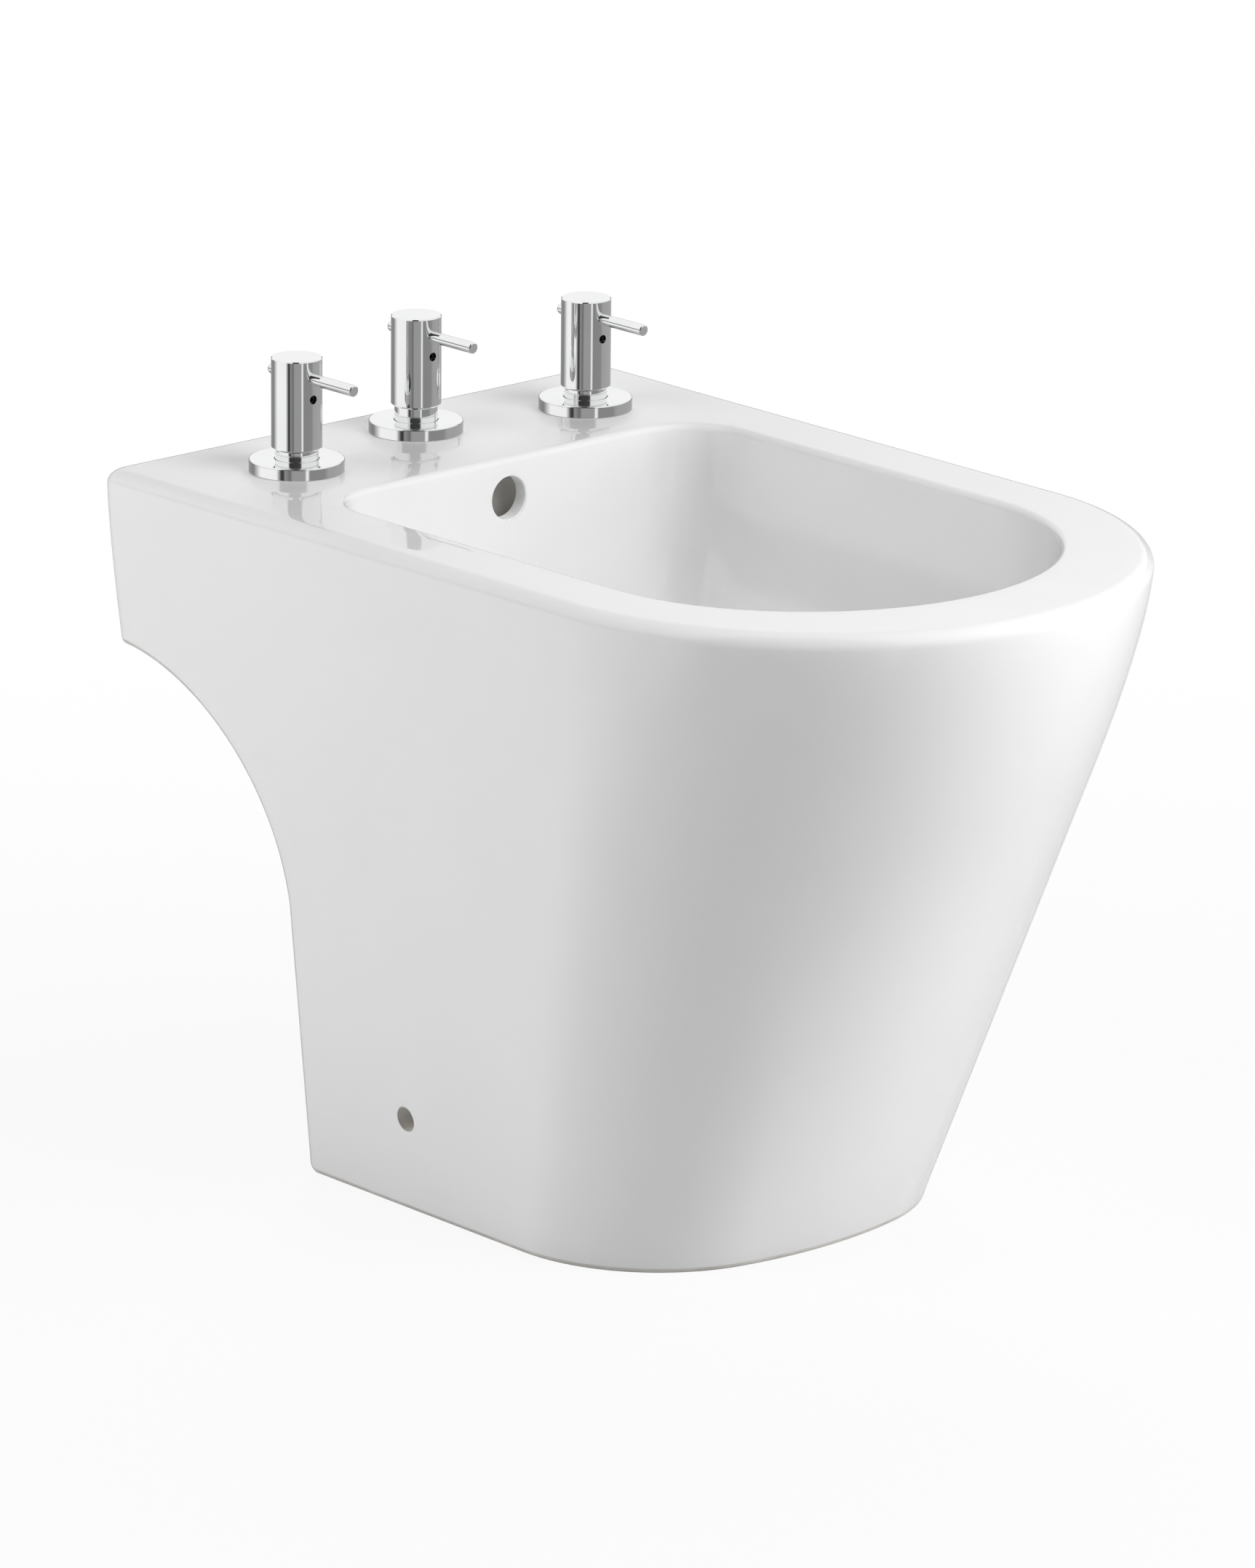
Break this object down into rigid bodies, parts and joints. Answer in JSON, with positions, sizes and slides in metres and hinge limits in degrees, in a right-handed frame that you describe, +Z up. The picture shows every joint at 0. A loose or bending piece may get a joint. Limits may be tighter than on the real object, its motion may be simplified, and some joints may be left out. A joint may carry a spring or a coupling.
{
  "type": "bidet",
  "caption": "Floor-standing ceramic bidet with a D-shaped rim, tapering skirt and open back, with lever taps on its deck, an upright spray and a click waste in the bowl.",
  "frame": {"origin": "on the floor under the middle of the bidet's box", "axes": "+Z up, -Y the front of the rim, +Y the wall side, +X to the right when facing the taps"},
  "size_m": [0.376, 0.56, 0.4633],
  "materials": {
    "glazed_china": "gloss",
    "polished_chrome": "mirror",
    "black_steel": "satin",
    "brass": "machined",
    "disc_ceramic": "lapped",
    "black_rubber": "moulded",
    "white_plastic": "moulded",
    "spring_steel": "drawn"
  },
  "bodies": {
    "bidet": {"ceramic_body": "glazed_china", "hot_flange": "polished_chrome", "hot_neck": "polished_chrome", "hot_cartridge": "brass", "hot_valve_body": "brass", "hot_fixed_disc": "disc_ceramic", "spray_flange": "polished_chrome", "spray_neck": "polished_chrome", "spray_cartridge": "brass", "spray_valve_body": "brass", "spray_fixed_disc": "disc_ceramic", "cold_flange": "polished_chrome", "cold_neck": "polished_chrome", "cold_cartridge": "brass", "cold_valve_body": "brass", "cold_fixed_disc": "disc_ceramic", "lock_rings": "brass", "deck_washers": "black_rubber", "backing_nuts": "brass", "seat_seals": "black_rubber", "hot_feed_tube": "polished_chrome", "cold_feed_tube": "polished_chrome", "spray_tube": "polished_chrome", "tube_nuts": "brass", "spray_head": "polished_chrome", "spray_gasket": "black_rubber", "spray_washer": "black_rubber", "spray_nut": "brass", "waste_body": "polished_chrome", "waste_upper_seal": "black_rubber", "waste_lower_seal": "black_rubber", "waste_nut": "brass", "click_barrel": "white_plastic", "click_spring": "spring_steel"},
    "hot_lever_handle": {"hot_handle": "polished_chrome", "hot_lever": "polished_chrome", "hot_grub_screw": "black_steel", "hot_spindle": "brass", "hot_moving_disc": "disc_ceramic"},
    "spray_lever_handle": {"spray_handle": "polished_chrome", "spray_lever": "polished_chrome", "spray_grub_screw": "black_steel", "spray_spindle": "brass", "spray_moving_disc": "disc_ceramic"},
    "cold_lever_handle": {"cold_handle": "polished_chrome", "cold_lever": "polished_chrome", "cold_grub_screw": "black_steel", "cold_spindle": "brass", "cold_moving_disc": "disc_ceramic"},
    "pop_up_plug": {"waste_plug": "polished_chrome", "plug_seal": "black_rubber", "plug_stem": "brass"}
  },
  "joints": [
    {"name": "hot_turn", "type": "hinge", "parent": "bidet", "child": "hot_lever_handle", "pos_m": [-0.108, 0.206, 0.43], "axis": [0, 0, 1], "range_deg": [-90, 0]},
    {"name": "spray_turn", "type": "hinge", "parent": "bidet", "child": "spray_lever_handle", "pos_m": [0, 0.229, 0.43], "axis": [0, 0, 1], "range_deg": [-90, 90]},
    {"name": "cold_turn", "type": "hinge", "parent": "bidet", "child": "cold_lever_handle", "pos_m": [0.108, 0.206, 0.43], "axis": [0, 0, 1], "range_deg": [0, 90]},
    {"name": "plug_slide", "type": "slide", "parent": "bidet", "child": "pop_up_plug", "axis": [0, 0, 1], "range_m": [0, 0.008], "deforming": ["click_spring"]}
  ]
}
